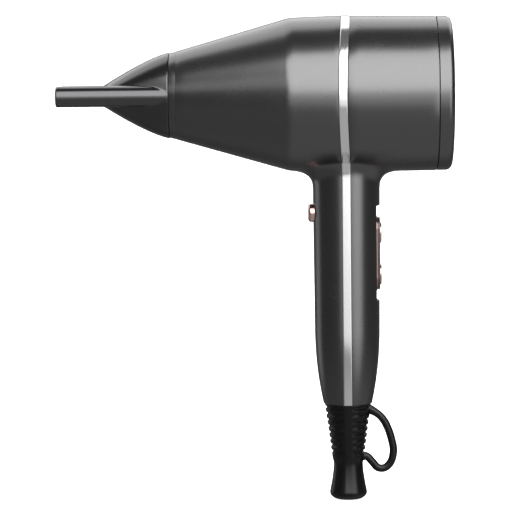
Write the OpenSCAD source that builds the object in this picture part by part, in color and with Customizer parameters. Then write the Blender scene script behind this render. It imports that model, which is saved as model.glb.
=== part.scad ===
// Hair dryer with a fitted concentrator nozzle, built as separate pieces.
// Origin at the middle of the cord inlet in the foot, +Z up along the handle,
// the nozzle points towards -X and the air intake towards +X.

/* [Barrel] */
// Outer diameter of the barrel at the trim band
barrel_d = 90; // [84:1:104]
// Outer diameter where the rear cap meets the rear shell
rear_d = 89; // [84:1:102]
// From the trim band's middle forward to the shoulder of the cone
front_len = 32; // [28:1:44]
// Length of the cone from its shoulder to its front edge
cone_len = 65.5; // [60:0.5:90]
// Outer diameter of the cone's front edge
outlet_d = 51; // [49:0.5:60]
// From the trim band's middle back to the seam of the rear cap
rear_len = 52.1; // [52:0.1:70]
// Wall of the shells
shell_wall = 2.2; // [1.6:0.1:2.6]

/* [Rear cap] */
// Length of the rear cap behind its seam
cap_len = 8.6; // [8:0.1:14]
// Radius of the rear cap's outer edge
cap_edge_r = 3.6; // [2:0.1:4]
// Diameter of the air intake
intake_d = 72; // [60:1:74]

/* [Trim band] */
// Width of the bright band between the two shells
band_w = 5.2; // [3:0.1:8]
// How far the band stands proud of the shells
band_proud = 0.3; // [0.1:0.1:0.6]

/* [Handle] */
// From the sleeve's seam up to the underside of the barrel
handle_len = 134.5; // [128:0.5:165]
// Diameter of the handle under the barrel
handle_d = 38.8; // [37:0.2:46]
// Diameter of the handle where its lower curve starts
grip_d = 37.7; // [36.5:0.1:45]
// Diameter of the handle at the sleeve's seam
handle_foot_d = 28.2; // [27.4:0.1:34]
// Length of the handle's lower curve
foot_curve_len = 44; // [30:1:46]
// Radius of the fillet between the handle and the barrel
junction_r = 9; // [6:0.5:11]

/* [Nozzle] */
// Length of the nozzle from its seam to the slot
nozzle_len = 64.1; // [56:0.1:80]
// Outer diameter of the nozzle at its seam
nozzle_d = 49.6; // [48:0.2:58]
// Length of the round part that closes down to the flat slot
wedge_len = 38.3; // [32:0.1:46]
// Outer width of the slot
slot_w = 58; // [50:1:70]
// Outer thickness of the flat slot
slot_t = 11.8; // [10.6:0.2:16]
// Wall of the nozzle
nozzle_wall = 1.6; // [1.2:0.1:2.2]
// Length of the fixed neck in front of the cone
neck_len = 4.1; // [3:0.1:8]
// Outer diameter of the spigot that carries the nozzle
spigot_d = 39; // [36:0.2:39.4]
// Length of the spigot
spigot_len = 7.4; // [6:0.1:9]

/* [Controls] */
// Diameter of the speed and temperature buttons
button_d = 12.2; // [10:0.1:12.6]
// Height of the temperature button above the foot
temperature_z = 131.2; // [128:0.1:132]
// Spacing from the temperature button up to the speed button
button_pitch = 24.2; // [23:0.1:27]
// Travel of the speed and temperature buttons
button_travel = 0.8; // [0.4:0.1:1]
// Depth of the flat pocket in the back of the handle
pocket_depth = 1.8; // [1.2:0.1:2.2]
// Length of the flat pocket
pocket_len = 55; // [50:0.5:60]
// Length of the control plate in the pocket
plate_len = 42.2; // [40:0.1:46]
// Width of the control plate
plate_w = 14.2; // [13.6:0.1:14.8]
// Diameter of the cold shot button
cold_d = 10.8; // [9:0.1:12]
// Height of the cold shot button above the foot
cold_z = 167; // [160:0.5:172]
// How far the cold shot button stands out
cold_proud = 2.8; // [2.2:0.1:4]
// Travel of the cold shot button
cold_travel = 1.6; // [0.8:0.1:2]

/* [Cord sleeve] */
// Length of the rubber sleeve under the handle
sleeve_len = 56; // [50:0.5:70]
// Diameter of the sleeve at its top
sleeve_top_d = 27; // [25:0.2:32]
// Diameter of the sleeve under its last rib
sleeve_low_d = 18.8; // [16:0.2:24]
// Diameter of the waist above the foot
waist_d = 17; // [14:0.2:20]
// Diameter of the foot
foot_d = 21.2; // [18:0.2:26]
// Number of ribs
rib_count = 8; // [5:1:9]
// Depth of the grooves between the ribs
rib_depth = 1.1; // [0.6:0.1:1.6]
// Diameter of the cord inlet in the foot
inlet_d = 8; // [6:0.1:9]
// Length of the cord inlet
inlet_len = 12; // [8:0.5:14]

/* [Hanging loop] */
// Diameter of the loop's rubber
loop_d = 4.6; // [3:0.1:6]

/* [Fan and motor] */
// Number of impeller blades
blade_count = 7; // [5:1:11]
// Number of fixed guide vanes
vane_count = 9; // [5:1:13]
// Outer diameter of the motor
motor_d = 46; // [40:0.5:50]
// Length of the motor
motor_len = 46; // [36:0.5:48]
// Diameter of the motor shaft
shaft_d = 5; // [3:0.1:6]

/* [Heater] */
// Outer diameter of the mica tube
heater_d = 52; // [44:0.5:53]
// Length of the mica tube
heater_len = 58; // [50:1:60]
// Turns of the heating coil
coil_turns = 8; // [4:1:10]

/* [Hidden] */
$fn = 64;

axis_z = sleeve_len + handle_len + barrel_d / 2;
barrel_r = barrel_d / 2;
bore_r = rear_d / 2 - shell_wall;
cone_front = -front_len - cone_len;
neck_front = cone_front - neck_len;
slot_front = neck_front - nozzle_len;
band_half = band_w / 2;
handle_r = handle_d / 2;
grip_r = grip_d / 2;
curve_top = sleeve_len + foot_curve_len;
handle_bore_r = grip_r - shell_wall;
collar_len = 8;
spigot_wall = 1.6;
step_gap = 0.3;
fit_gap = 0.05;
thin = 0.01;

// Controls
speed_z = temperature_z + button_pitch;
plate_z = temperature_z + button_pitch / 2;
pocket_x = grip_r - pocket_depth + 0.1;
pad_t = 2.4;
pad_w = 19;
rim_t = 0.7;
rim_edge = 0.7;
plate_t = 1.4;
plate_x = pocket_x + rim_t;
button_out = 0.9;
button_x = plate_x + plate_t + button_out;
flange_t = 0.8;
flange_edge = 1.4;
pad_x = pocket_x - pad_t;
flange_x = pad_x - 0.1 - flange_t;
board_x = 4.4;
board_t = 1.6;
spring_min = 2.85;
switch_x = flange_x - button_travel - spring_min;
switch_t = switch_x - board_x - board_t;
screw_r = 1.5;
boss_r = 3.2;
cold_x = -handle_r - cold_proud;
cold_flange_r = cold_d / 2 + 1;
cold_flange_x = -sqrt(pow(handle_bore_r, 2) - pow(cold_flange_r, 2)) + step_gap + flange_t;
cold_switch_x = cold_flange_x + cold_travel + spring_min;

// Fan and motor
fan_rear = rear_len - 7;
impeller_w = 12;
impeller_x = fan_rear - impeller_w - 2;
housing_front = 6;
housing_t = 1.6;
housing_r = bore_r - step_gap;
duct_r = housing_r - housing_t;
motor_r = motor_d / 2;
motor_rear = impeller_x - 2;
motor_front = motor_rear - motor_len;
can_t = 1.2;
bearing_r = 6;
bearing_w = 5;
rotor_r = 12.5;
hub_r = 14;

// Heater
heater_rear = motor_front - 4;
heater_front = heater_rear - heater_len;
heater_r = heater_d / 2;
mica_t = 1.2;
core_r = heater_r - mica_t - 2.6;
wire_r = 0.7;

// Sleeve
foot_r = foot_d / 2;
foot_h = 5;
waist_z = 20.6;
rib_low = 25.5;
rib_pitch = (sleeve_len - rib_low - 1) / rib_count;
rib_groove = rib_pitch * 0.42;
spine_w = 5.8;
clamp_z = sleeve_len + 16;
clamp_h = 9;
clamp_w = 17;
clamp_pitch = 12.6;
clamp_screw_r = 1.1;

// Middle line of the hanging loop: distance from the handle axis, share of the sleeve's length
loop_route = [[10.8, 0.95], [16.8, 0.891], [20.6, 0.821], [23.4, 0.723], [25.4, 0.607], [26.3, 0.5],
    [25, 0.389], [21.4, 0.321], [17.2, 0.321], [14, 0.382], [10.9, 0.439], [7.4, 0.443]];

// Helpers

module along_x(x) {
    translate([x, 0, axis_z]) rotate([0, 90, 0]) children();
}

module across_handle(x, z) {
    translate([x, 0, z]) rotate([0, 90, 0]) children();
}

module tube(r_out, r_in, len) {
    difference() {
        cylinder(r = r_out, h = len);
        translate([0, 0, -thin]) cylinder(r = r_in, h = len + 2 * thin);
    }
}

function unit(v) = v / norm(v);

function bezier(p0, p1, p2, t) =
    p0 * (1 - t) * (1 - t) + p1 * 2 * t * (1 - t) + p2 * t * t;

function spline_at(a, b, c, d, t) =
    ((b * 2) + (c - a) * t + (a * 2 - b * 5 + c * 4 - d) * t * t
    + (b * 3 - a - c * 3 + d) * t * t * t) / 2;

function spline(pts, steps) = [
    for (i = [0 : len(pts) - 2], k = [0 : steps - 1])
        spline_at(pts[max(i - 1, 0)], pts[i], pts[i + 1], pts[min(i + 2, len(pts) - 1)], k / steps),
    pts[len(pts) - 1]
];

function helix(r, x0, x1, turns, per_turn) = [
    for (i = [0 : turns * per_turn])
        [x0 + (x1 - x0) * i / (turns * per_turn), r * cos(360 * i / per_turn),
            r * sin(360 * i / per_turn)]
];

// Round rod of radius r swept along points; side is a direction the path never takes
module sweep(path, r, side, sides = 8) {
    n = len(path);
    rings = [for (i = [0 : n - 1])
        let (t = unit(path[min(i + 1, n - 1)] - path[max(i - 1, 0)]),
            u = unit(cross(side, t)), v = cross(t, u))
        for (k = [0 : sides - 1])
            path[i] + u * r * cos(360 * k / sides) + v * r * sin(360 * k / sides)];
    polyhedron(rings, concat(
        [[for (k = [0 : sides - 1]) k]],
        [[for (k = [sides - 1 : -1 : 0]) (n - 1) * sides + k]],
        [for (i = [0 : n - 2], k = [0 : sides - 1], h = [0, 1])
            let (a = i * sides + k, b = i * sides + (k + 1) % sides)
            h == 0 ? [a, a + sides, b] : [b, a + sides, b + sides]]));
}

// Solid through rings of points, all with the same number of points
module loft(rings) {
    n = len(rings[0]);
    m = len(rings);
    polyhedron([for (ring = rings, p = ring) p], concat(
        [[for (k = [0 : n - 1]) k]],
        [[for (k = [n - 1 : -1 : 0]) (m - 1) * n + k]],
        [for (i = [0 : m - 2], k = [0 : n - 1], h = [0, 1])
            let (a = i * n + k, b = i * n + (k + 1) % n)
            h == 0 ? [a, a + n, b] : [b, a + n, b + n]]));
}

// Outline of the two shells, as [radius, x] points from the cone's edge to the rear seam
function shell_outline(inset, proud) =
    let (corner = [barrel_r, -front_len], reach = 6,
        cone_way = unit([outlet_d / 2, cone_front] - corner), band_way = [0, 1])
    [for (p = concat([[outlet_d / 2, cone_front]],
            [for (t = [0 : 0.2 : 1])
                bezier(corner + cone_way * reach, corner, corner + band_way * reach, t)],
            [[barrel_r, 0], [rear_d / 2, rear_len]]))
        [p[0] - inset + proud, p[1]]];

module barrel_form(inset, proud) {
    outline = shell_outline(inset, proud);
    along_x(0) rotate_extrude($fn = 128)
        polygon(concat([[0, outline[0][1]]], outline, [[0, outline[len(outline) - 1][1]]]));
}

// Handle outline as [radius, z] points, straight above and one long curve below
function curve_r(z) =
    let (drop = grip_r - handle_foot_d / 2,
        bend = (foot_curve_len * foot_curve_len + drop * drop) / (2 * drop))
    grip_r - bend + sqrt(bend * bend - (curve_top - z) * (curve_top - z));

function handle_outline(grow) = concat(
    [for (k = [0 : 8]) let (z = sleeve_len + foot_curve_len * k / 8) [curve_r(z) + grow, z]],
    [[handle_r + grow, axis_z - barrel_r - junction_r], [handle_r + grow, axis_z - barrel_r / 2]]);

module handle_form(grow) {
    outline = handle_outline(grow);
    rotate_extrude($fn = 96)
        polygon(concat([[0, outline[0][1]]], outline, [[0, outline[len(outline) - 1][1]]]));
}

// Height of the barrel's underside at a distance and direction from the handle's axis
function underside(dist, angle, r) = axis_z - sqrt(r * r - pow(dist * sin(angle), 2));

// Section of the fillet between handle and barrel, in one direction from the handle's axis
function junction_section(angle, proud) =
    let (r = barrel_r + proud, inner = handle_r + proud, outer = inner + junction_r, sunk = 0.3,
        slope = outer * pow(sin(angle), 2) / (axis_z - underside(outer, angle, r)),
        low = [inner - sunk, underside(inner, angle, r) - junction_r],
        bend = [inner, underside(outer, angle, r) - slope * junction_r],
        high = [outer, underside(outer, angle, r) + sunk])
    concat([for (k = [0 : 7]) bezier(low, bend, high, k / 7)],
        [[outer - 0.5, underside(outer, angle, r) + 1.4],
        [inner - 1.4, underside(inner, angle, r) + 1.4], [inner - 1.4, low[1] + 0.5]]);

module junction_form(proud) {
    around = 60;
    rings = [for (a = [0 : around - 1]) [for (p = junction_section(360 * a / around, proud))
        [p[0] * cos(360 * a / around), p[0] * sin(360 * a / around), p[1]]]];
    n = len(rings[0]);
    polyhedron([for (ring = rings, p = ring) p],
        [for (i = [0 : around - 1], k = [0 : n - 1], h = [0, 1])
            let (j = (i + 1) % around, a = i * n + k, b = i * n + (k + 1) % n,
                c = j * n + k, d = j * n + (k + 1) % n)
            h == 0 ? [a, b, c] : [b, d, c]]);
}

// The whole hollow housing, which the shells and the band are slices of
module housing(proud) {
    difference() {
        union() {
            barrel_form(0, proud);
            handle_form(proud);
            junction_form(proud);
        }
        barrel_form(shell_wall, 0);
        translate([0, 0, curve_top]) cylinder(r = handle_bore_r, h = axis_z - curve_top);
        translate([0, 0, sleeve_len - thin])
            cylinder(r1 = handle_foot_d / 2 - shell_wall, r2 = handle_bore_r,
                h = foot_curve_len + 2 * thin);
        along_x(rear_len - thin) cylinder(r = bore_r, h = 2);
        along_x(cone_front - 1) cylinder(r = outlet_d / 2 - shell_wall, h = 1 + thin);
    }
}

module slab(x0, x1) {
    translate([x0, -barrel_d, 0]) cube([x1 - x0, 2 * barrel_d, axis_z + barrel_d]);
}

module front_shell() color("#4a4b4e") {
    difference() {
        union() {
            intersection() {
                housing(0);
                slab(cone_front - 1, -band_half);
            }
            intersection() {
                across_handle(-handle_bore_r - 1, plate_z)
                    cylinder(r = boss_r, h = handle_bore_r + 1 + board_x + board_t + 0.3, $fn = 32);
                cylinder(r = handle_bore_r + 1, h = axis_z);
            }
        }
        across_handle(-handle_bore_r + 3, plate_z)
            cylinder(r = screw_r, h = 2 * handle_bore_r, $fn = 32);
        across_handle(-handle_r - 2, cold_z)
            cylinder(r = cold_d / 2 + step_gap, h = handle_r, $fn = 48);
    }
}

module rear_shell() color("#4a4b4e") {
    difference() {
        union() {
            intersection() {
                housing(0);
                slab(band_half, rear_len);
            }
            intersection() {
                translate([pad_x, -pad_w / 2, plate_z - pocket_len / 2 - 2])
                    cube([pad_t + 2, pad_w, pocket_len + 4]);
                cylinder(r = handle_bore_r + 1, h = axis_z);
            }
            across_handle(board_x + board_t + 0.6, plate_z)
                cylinder(r = boss_r, h = pad_x - board_x - board_t, $fn = 32);
        }
        translate([pocket_x, -handle_r, plate_z - pocket_len / 2])
            cube([handle_r, 2 * handle_r, pocket_len]);
        for (z = [temperature_z, speed_z])
            across_handle(pad_x - 1, z)
                cylinder(r = button_d / 2 + step_gap, h = handle_r, $fn = 48);
        across_handle(0, plate_z) cylinder(r = screw_r + step_gap, h = handle_r, $fn = 32);
        across_handle(pocket_x - 1.6, plate_z) cylinder(r = 3, h = handle_r, $fn = 32);
    }
}

module trim_band() color("#e8e8ea") {
    intersection() {
        housing(band_proud);
        slab(-band_half, band_half);
    }
}

module filter_cap() color("#4a4b4e") {
    cap_r = rear_d / 2 - 0.1;
    along_x(rear_len + 0.2) rotate_extrude($fn = 128) difference() {
        union() {
            square([cap_r, cap_len - cap_edge_r]);
            square([cap_r - cap_edge_r, cap_len]);
            translate([cap_r - cap_edge_r, cap_len - cap_edge_r]) circle(r = cap_edge_r);
            translate([0, -5]) square([bore_r - step_gap, 5 + thin]);
        }
        translate([-1, cap_len - 3]) square([intake_d / 2 + 1, 5]);
        translate([-1, -6]) square([intake_d / 2 + 2, 3 + cap_len]);
    }
}

module intake_grille() color("#2a2a2c") {
    hole = 1.5;
    along_x(rear_len + cap_len - 4.6) difference() {
        cylinder(r = intake_d / 2 + 0.6, h = 1.4, $fn = 96);
        for (ring = [1 : 6]) for (k = [0 : 8 * ring - 1])
            rotate(45 * k / ring) translate([ring * (intake_d / 2 - 4) / 6, 0, -1])
                cylinder(r = hole, h = 4, $fn = 13);
    }
}

module filter_mesh() color("#8a8d90") {
    along_x(rear_len + cap_len - 6) cylinder(r = intake_d / 2 + 0.6, h = 0.5, $fn = 96);
}

// Half height of the round part at a share u of its length
function wedge_half(u) = nozzle_d / 2 - (nozzle_d / 2 - slot_t / 2) * pow(u, 1.3);

module wedge_form(inset, from) {
    steps = 12;
    loft([for (k = [0 : steps])
        let (u = from + (1 - from) * k / steps, high = wedge_half(u) - inset,
            wide = nozzle_d / 2 - inset)
        [for (a = [0 : 7.5 : 359]) [neck_front - u * wedge_len, wide * cos(a),
            axis_z - high * sin(a)]]]);
}

// Flat part of the nozzle, with round sides that spread apart towards the slot
module slot_form(inset, x0, x1) {
    r = slot_t / 2 - inset;
    loft([for (x = [x0, x1])
        let (share = (neck_front - x) / nozzle_len,
            reach = nozzle_d / 2 - 0.4 + (slot_w - nozzle_d) / 2 * share - inset - r)
        [for (side = [1, -1], a = [-90 : 12 : 90])
            [x, side * (reach + r * cos(a)), axis_z - side * r * sin(a)]]]);
}

module nozzle() color("#45464a") {
    bore_share = spigot_len / wedge_len;
    difference() {
        union() {
            wedge_form(0, 0);
            slot_form(0, neck_front, slot_front);
        }
        wedge_form(nozzle_wall, bore_share + 0.02);
        slot_form(nozzle_wall, neck_front - spigot_len - 1, slot_front - 1);
        along_x(neck_front - spigot_len - 1)
            cylinder(r = spigot_d / 2 + 2 * fit_gap + 1.1, h = spigot_len + 2);
    }
}

module nozzle_ring() color("#1c1c1e") {
    along_x(neck_front - spigot_len + 0.3)
        tube(spigot_d / 2 + fit_gap + 1.1, spigot_d / 2 + fit_gap, spigot_len - 0.8);
}

module outlet_collar() color("#3c3d40") {
    seat_r = outlet_d / 2 - shell_wall - 0.2;
    along_x(0) rotate_extrude($fn = 96) difference() {
        union() {
            translate([0, neck_front]) square([nozzle_d / 2, neck_len - 0.1]);
            translate([0, neck_front - spigot_len]) square([spigot_d / 2, spigot_len + thin]);
            translate([0, cone_front - 0.2]) square([seat_r, 5]);
        }
        translate([-1, neck_front - spigot_len - 1]) square([spigot_d / 2 - spigot_wall + 1, 30]);
    }
}

module outlet_grille() color("#2a2a2c") {
    r = spigot_d / 2 - spigot_wall - 0.1;
    along_x(neck_front) {
        tube(r, r - 1.4, 3);
        for (k = [1 : 3]) tube(1.4 + k * (r - 1.4) / 4, 0.4 + k * (r - 1.4) / 4, 1.6);
        difference() {
            for (a = [0 : 45 : 135])
                rotate(a) translate([-r + 1, -0.5, 0]) cube([2 * r - 2, 1, 1.6]);
            translate([0, 0, -1]) cylinder(r = 1, h = 4, $fn = 24);
        }
    }
}

module heater_tube() color("#b9a27a") {
    along_x(heater_front) tube(heater_r, heater_r - mica_t, heater_len);
}

module heater_core() color("#c2ad86") {
    along_x(heater_front + 2) difference() {
        union() {
            for (a = [0, 60, 120]) rotate(a)
                translate([-core_r, -0.5, 0]) cube([2 * core_r, 1, heater_len - 4]);
            cylinder(r = 3, h = heater_len - 4, $fn = 24);
        }
        translate([0, 0, -1]) cylinder(r = 2, h = heater_len, $fn = 24);
    }
}

module heater_coil() color("#7d7468") {
    translate([0, 0, axis_z])
        sweep(helix(core_r + wire_r + 0.2, heater_front + 6, heater_rear - 6, coil_turns, 24),
            wire_r, [1, 0, 0], 6);
}

module thermostat() color("#c9c9c9") {
    translate([heater_rear - 16, -4, axis_z + core_r * 0.3]) cube([11, 3.2, 7]);
}

module thermal_fuse() color("#d9cdb8") {
    along_x(heater_front + 8) rotate(30) translate([core_r * 0.55, 0, 0])
        cylinder(r = 1.8, h = 10, $fn = 24);
}

module ion_generator() color("#222325") {
    translate([motor_front + 2, -7, axis_z + motor_r + 3]) cube([22, 14, 9]);
}

module ion_emitter() color("#cfd2d4") {
    along_x(heater_front - 9) rotate(180) translate([spigot_d / 4, 0, 0]) {
        cylinder(r = 0.5, h = 4, $fn = 16);
        translate([0, 0, 3]) cylinder(r = 1.6, h = 5, $fn = 24);
    }
}

module fan_housing() color("#2b2c2e") {
    vane_len = motor_rear - housing_front - 4;
    along_x(housing_front) {
        tube(housing_r, duct_r, fan_rear - housing_front);
        translate([0, 0, 2]) tube(motor_r + 3.6, motor_r + 2, vane_len + 2);
        for (k = [0 : vane_count - 1]) rotate(360 * k / vane_count)
            translate([motor_r + 3, -0.7, 3]) cube([duct_r - motor_r - 2.6, 1.4, vane_len]);
    }
}

module motor_ring() color("#1b1b1b") {
    along_x(housing_front + 3) tube(motor_r + 1.9, motor_r + 0.1, 12);
}

module motor_can() color("#a9abae") {
    along_x(motor_front) difference() {
        cylinder(r = motor_r, h = motor_len);
        translate([0, 0, can_t]) cylinder(r = motor_r - can_t, h = motor_len - 2 * can_t);
        translate([0, 0, -1]) cylinder(r = bearing_r, h = motor_len + 2, $fn = 48);
        for (k = [0 : 5]) rotate(60 * k) translate([motor_r * 0.62, 0, -1])
            cylinder(r = 3, h = motor_len + 2, $fn = 24);
    }
}

module field_core() color("#6b6d70") {
    along_x(motor_front + 10) tube(motor_r - can_t - 0.1, rotor_r + 0.8, motor_len - 20);
}

module bearing() color("#b0894f") {
    tube(bearing_r, shaft_d / 2 + fit_gap, bearing_w);
}

module front_bearing() {
    along_x(motor_front) bearing();
}

module rear_bearing() {
    along_x(motor_rear - bearing_w) bearing();
}

module motor_shaft() color("#c8cacc") {
    shaft_front = motor_front - 1;
    along_x(shaft_front)
        cylinder(r = shaft_d / 2, h = impeller_x + impeller_w - 3 - shaft_front, $fn = 48);
}

module rotor_core() color("#8a5a36") {
    along_x(motor_front + 8) {
        tube(rotor_r, shaft_d / 2, motor_len - 18);
        translate([0, 0, motor_len - 18]) tube(rotor_r * 0.55, shaft_d / 2, 4);
    }
}

module impeller() color("#2f3032") {
    tip_r = duct_r - 1.2;
    along_x(impeller_x) {
        difference() {
            union() {
                cylinder(r = hub_r, h = impeller_w - 4);
                translate([0, 0, impeller_w - 4 - thin]) cylinder(r1 = hub_r, r2 = 6, h = 4);
            }
            translate([0, 0, -1]) cylinder(r = shaft_d / 2, h = impeller_w - 2, $fn = 48);
        }
        for (k = [0 : blade_count - 1]) rotate(360 * k / blade_count)
            intersection() {
                translate([hub_r - 1, 0, impeller_w / 2]) rotate([35, 0, 0])
                    translate([0, -0.7, -impeller_w]) cube([tip_r, 1.4, 2 * impeller_w]);
                tube(tip_r, hub_r - 0.5, impeller_w - 1);
            }
    }
}

// Flat plate with round ends, lying on the flat pocket
module pocket_plate(len, wide, thick, x) {
    across_handle(x, plate_z) linear_extrude(height = thick)
        hull() for (side = [-1, 1]) translate([side * (len - wide) / 2, 0])
            circle(d = wide, $fn = 48);
}

module button_holes(gap) {
    for (z = [temperature_z, speed_z])
        across_handle(0, z) cylinder(r = button_d / 2 + gap, h = 2 * handle_r, $fn = 48);
}

module control_rim() color("#c9958a") {
    difference() {
        pocket_plate(plate_len + 2 * rim_edge, plate_w + 2 * rim_edge, rim_t, pocket_x);
        button_holes(step_gap);
    }
}

module control_plate() color("#2a2425") {
    difference() {
        pocket_plate(plate_len, plate_w, plate_t, plate_x);
        button_holes(step_gap);
    }
}

module rear_button(z) color("#d29f92") {
    r = button_d / 2;
    round_r = 0.8;
    across_handle(0, z) rotate_extrude($fn = 64) union() {
        translate([0, flange_x]) square([r, button_x - round_r - flange_x]);
        translate([0, flange_x]) square([r + flange_edge, flange_t]);
        translate([0, flange_x]) square([r - round_r, button_x - flange_x]);
        translate([r - round_r, button_x - round_r]) intersection() {
            circle(r = round_r, $fn = 24);
            square(round_r);
        }
    }
}

module speed_button() {
    rear_button(speed_z);
}

module temperature_button() {
    rear_button(temperature_z);
}

module cold_shot_button() color("#d8a99f") {
    r = cold_d / 2;
    round_r = 1.2;
    across_handle(0, cold_z) rotate_extrude($fn = 64) union() {
        translate([0, cold_x + round_r]) square([r, cold_flange_x - cold_x - round_r]);
        translate([0, cold_x]) square([r - round_r, cold_flange_x - cold_x]);
        translate([0, cold_flange_x - flange_t]) square([cold_flange_r, flange_t]);
        translate([r - round_r, cold_x + round_r]) intersection() {
            circle(r = round_r, $fn = 24);
            translate([0, -round_r]) square(round_r);
        }
    }
}

module coil_spring(x0, x1, z, r) color("#b9bcc0") {
    wire = 0.25;
    translate([0, 0, z])
        sweep(helix(r, x0 + wire + 0.1, x1 - wire - 0.1, 3, 16), wire, [1, 0, 0], 6);
}

module speed_spring() {
    coil_spring(switch_x, flange_x, speed_z, 2.6);
}

module temperature_spring() {
    coil_spring(switch_x, flange_x, temperature_z, 2.6);
}

module cold_shot_spring() {
    coil_spring(cold_flange_x, cold_switch_x, cold_z, 2.4);
}

module switch_board() color("#2f6b46") {
    board_w = 24;
    board_len = pocket_len + 3;
    difference() {
        translate([board_x, -board_w / 2, plate_z - board_len / 2])
            cube([board_t, board_w, board_len]);
        across_handle(0, plate_z) cylinder(r = boss_r + 0.5, h = handle_r, $fn = 32);
    }
}

module rear_switch(z) color("#1e1e20") {
    translate([board_x + board_t, -5, z - 5]) cube([switch_t, 10, 10]);
}

module speed_switch() {
    rear_switch(speed_z);
}

module temperature_switch() {
    rear_switch(temperature_z);
}

module cold_shot_switch() color("#1e1e20") {
    translate([cold_switch_x, -4, cold_z - 4]) cube([board_x - cold_switch_x, 8, 8]);
}

module capacitor() color("#b58b2a") {
    translate([-2, 0, curve_top - 8]) cylinder(r = 6, h = 18);
}

module wire_loom() color("#202022") {
    low = sleeve_len + 28;
    high = axis_z - barrel_r + 14;
    sweep(spline([[-5, 3, low], [-6, 10, low + 14], [-6, 10.5, low + 50], [-5, 10, high - 20],
        [-4, 9, high]], 5), 1.6, [1, 0, 0], 8);
}

module cord_clamp() color("#333436") {
    translate([0, 0, clamp_z]) difference() {
        translate([-5, -clamp_w / 2, 0]) cube([10, clamp_w, clamp_h]);
        translate([0, 0, -1]) cylinder(r = inlet_d / 2 - 0.6, h = clamp_h + 2, $fn = 48);
        for (side = [-1, 1]) translate([-6, side * clamp_pitch / 2, clamp_h / 2])
            rotate([0, 90, 0]) cylinder(r = clamp_screw_r, h = 12, $fn = 24);
    }
}

module clamp_screws() color("#b7b9bc") {
    for (side = [-1, 1])
        translate([-4.9, side * clamp_pitch / 2, clamp_z + clamp_h / 2]) rotate([0, 90, 0]) {
        cylinder(r = clamp_screw_r, h = 9.9, $fn = 24);
        translate([0, 0, 9.9]) cylinder(r = 2, h = 1.3, $fn = 24);
    }
}

module shell_screw() color("#b7b9bc") {
    across_handle(-handle_bore_r + 5, plate_z) {
        cylinder(r = screw_r, h = pocket_x - 1.6 + handle_bore_r - 5 + thin, $fn = 32);
        translate([0, 0, pocket_x - 1.6 + handle_bore_r - 5]) cylinder(r = 2.7, h = 1.4, $fn = 32);
    }
}

function sleeve_r(z) = sleeve_low_d / 2
    + (sleeve_top_d - sleeve_low_d) / 2 * (z - rib_low) / (sleeve_len - rib_low);

module cord_sleeve() color("#161617") {
    rib_groove_at = [for (k = [0 : rib_count - 1]) rib_low + 0.8 + rib_pitch * (k + 0.5)];
    seat_r = handle_foot_d / 2 - shell_wall - 0.15;
    foot_flat_r = inlet_d / 2 + 1.2;
    difference() {
        union() {
            rotate_extrude($fn = 96) polygon(concat(
                [[0, 0], [foot_flat_r, 0]],
                [for (a = [12 : 13 : 90]) [foot_flat_r + (foot_r - foot_flat_r) * sin(a),
                    foot_h * (1 - cos(a))]],
                [for (t = [0 : 0.125 : 1]) bezier([foot_r, foot_h], [waist_d / 2, waist_z * 0.55],
                    [waist_d / 2, waist_z], t)],
                [[sleeve_low_d / 2, rib_low], [sleeve_top_d / 2, sleeve_len], [0, sleeve_len]]));
            translate([0, 0, sleeve_len - thin]) cylinder(r = seat_r, h = collar_len);
        }
        difference() {
            for (z = rib_groove_at) translate([0, 0, z - rib_groove / 2])
                tube(sleeve_top_d, sleeve_r(z) - rib_depth, rib_groove);
            for (side = [-1, 1])
                translate([-spine_w / 2, side > 0 ? 0 : -sleeve_top_d, 0])
                    cube([spine_w, sleeve_top_d, sleeve_len]);
        }
        translate([0, 0, -1]) cylinder(r = inlet_d / 2, h = inlet_len + 1 + thin, $fn = 64);
        translate([0, 0, inlet_len]) cylinder(r1 = inlet_d / 2, r2 = seat_r - 1.6,
            h = sleeve_len + collar_len - inlet_len + thin);
    }
}

module hanging_loop() color("#161617") {
    path = [for (p = spline(loop_route, 4)) [p[0], 0, p[1] * sleeve_len]];
    sweep(path, loop_d / 2, [0, 1, 0], 10);
}

front_shell();
rear_shell();
trim_band();
filter_cap();
intake_grille();
filter_mesh();
nozzle();
nozzle_ring();
outlet_collar();
outlet_grille();
heater_tube();
heater_core();
heater_coil();
thermostat();
thermal_fuse();
ion_generator();
ion_emitter();
fan_housing();
motor_ring();
motor_can();
field_core();
rotor_core();
motor_shaft();
front_bearing();
rear_bearing();
impeller();
control_rim();
control_plate();
speed_button();
temperature_button();
cold_shot_button();
speed_spring();
temperature_spring();
cold_shot_spring();
switch_board();
speed_switch();
temperature_switch();
cold_shot_switch();
capacitor();
wire_loom();
cord_clamp();
clamp_screws();
shell_screw();
cord_sleeve();
hanging_loop();
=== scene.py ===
import bmesh
import bpy
import math
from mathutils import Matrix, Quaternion, Vector


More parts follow.
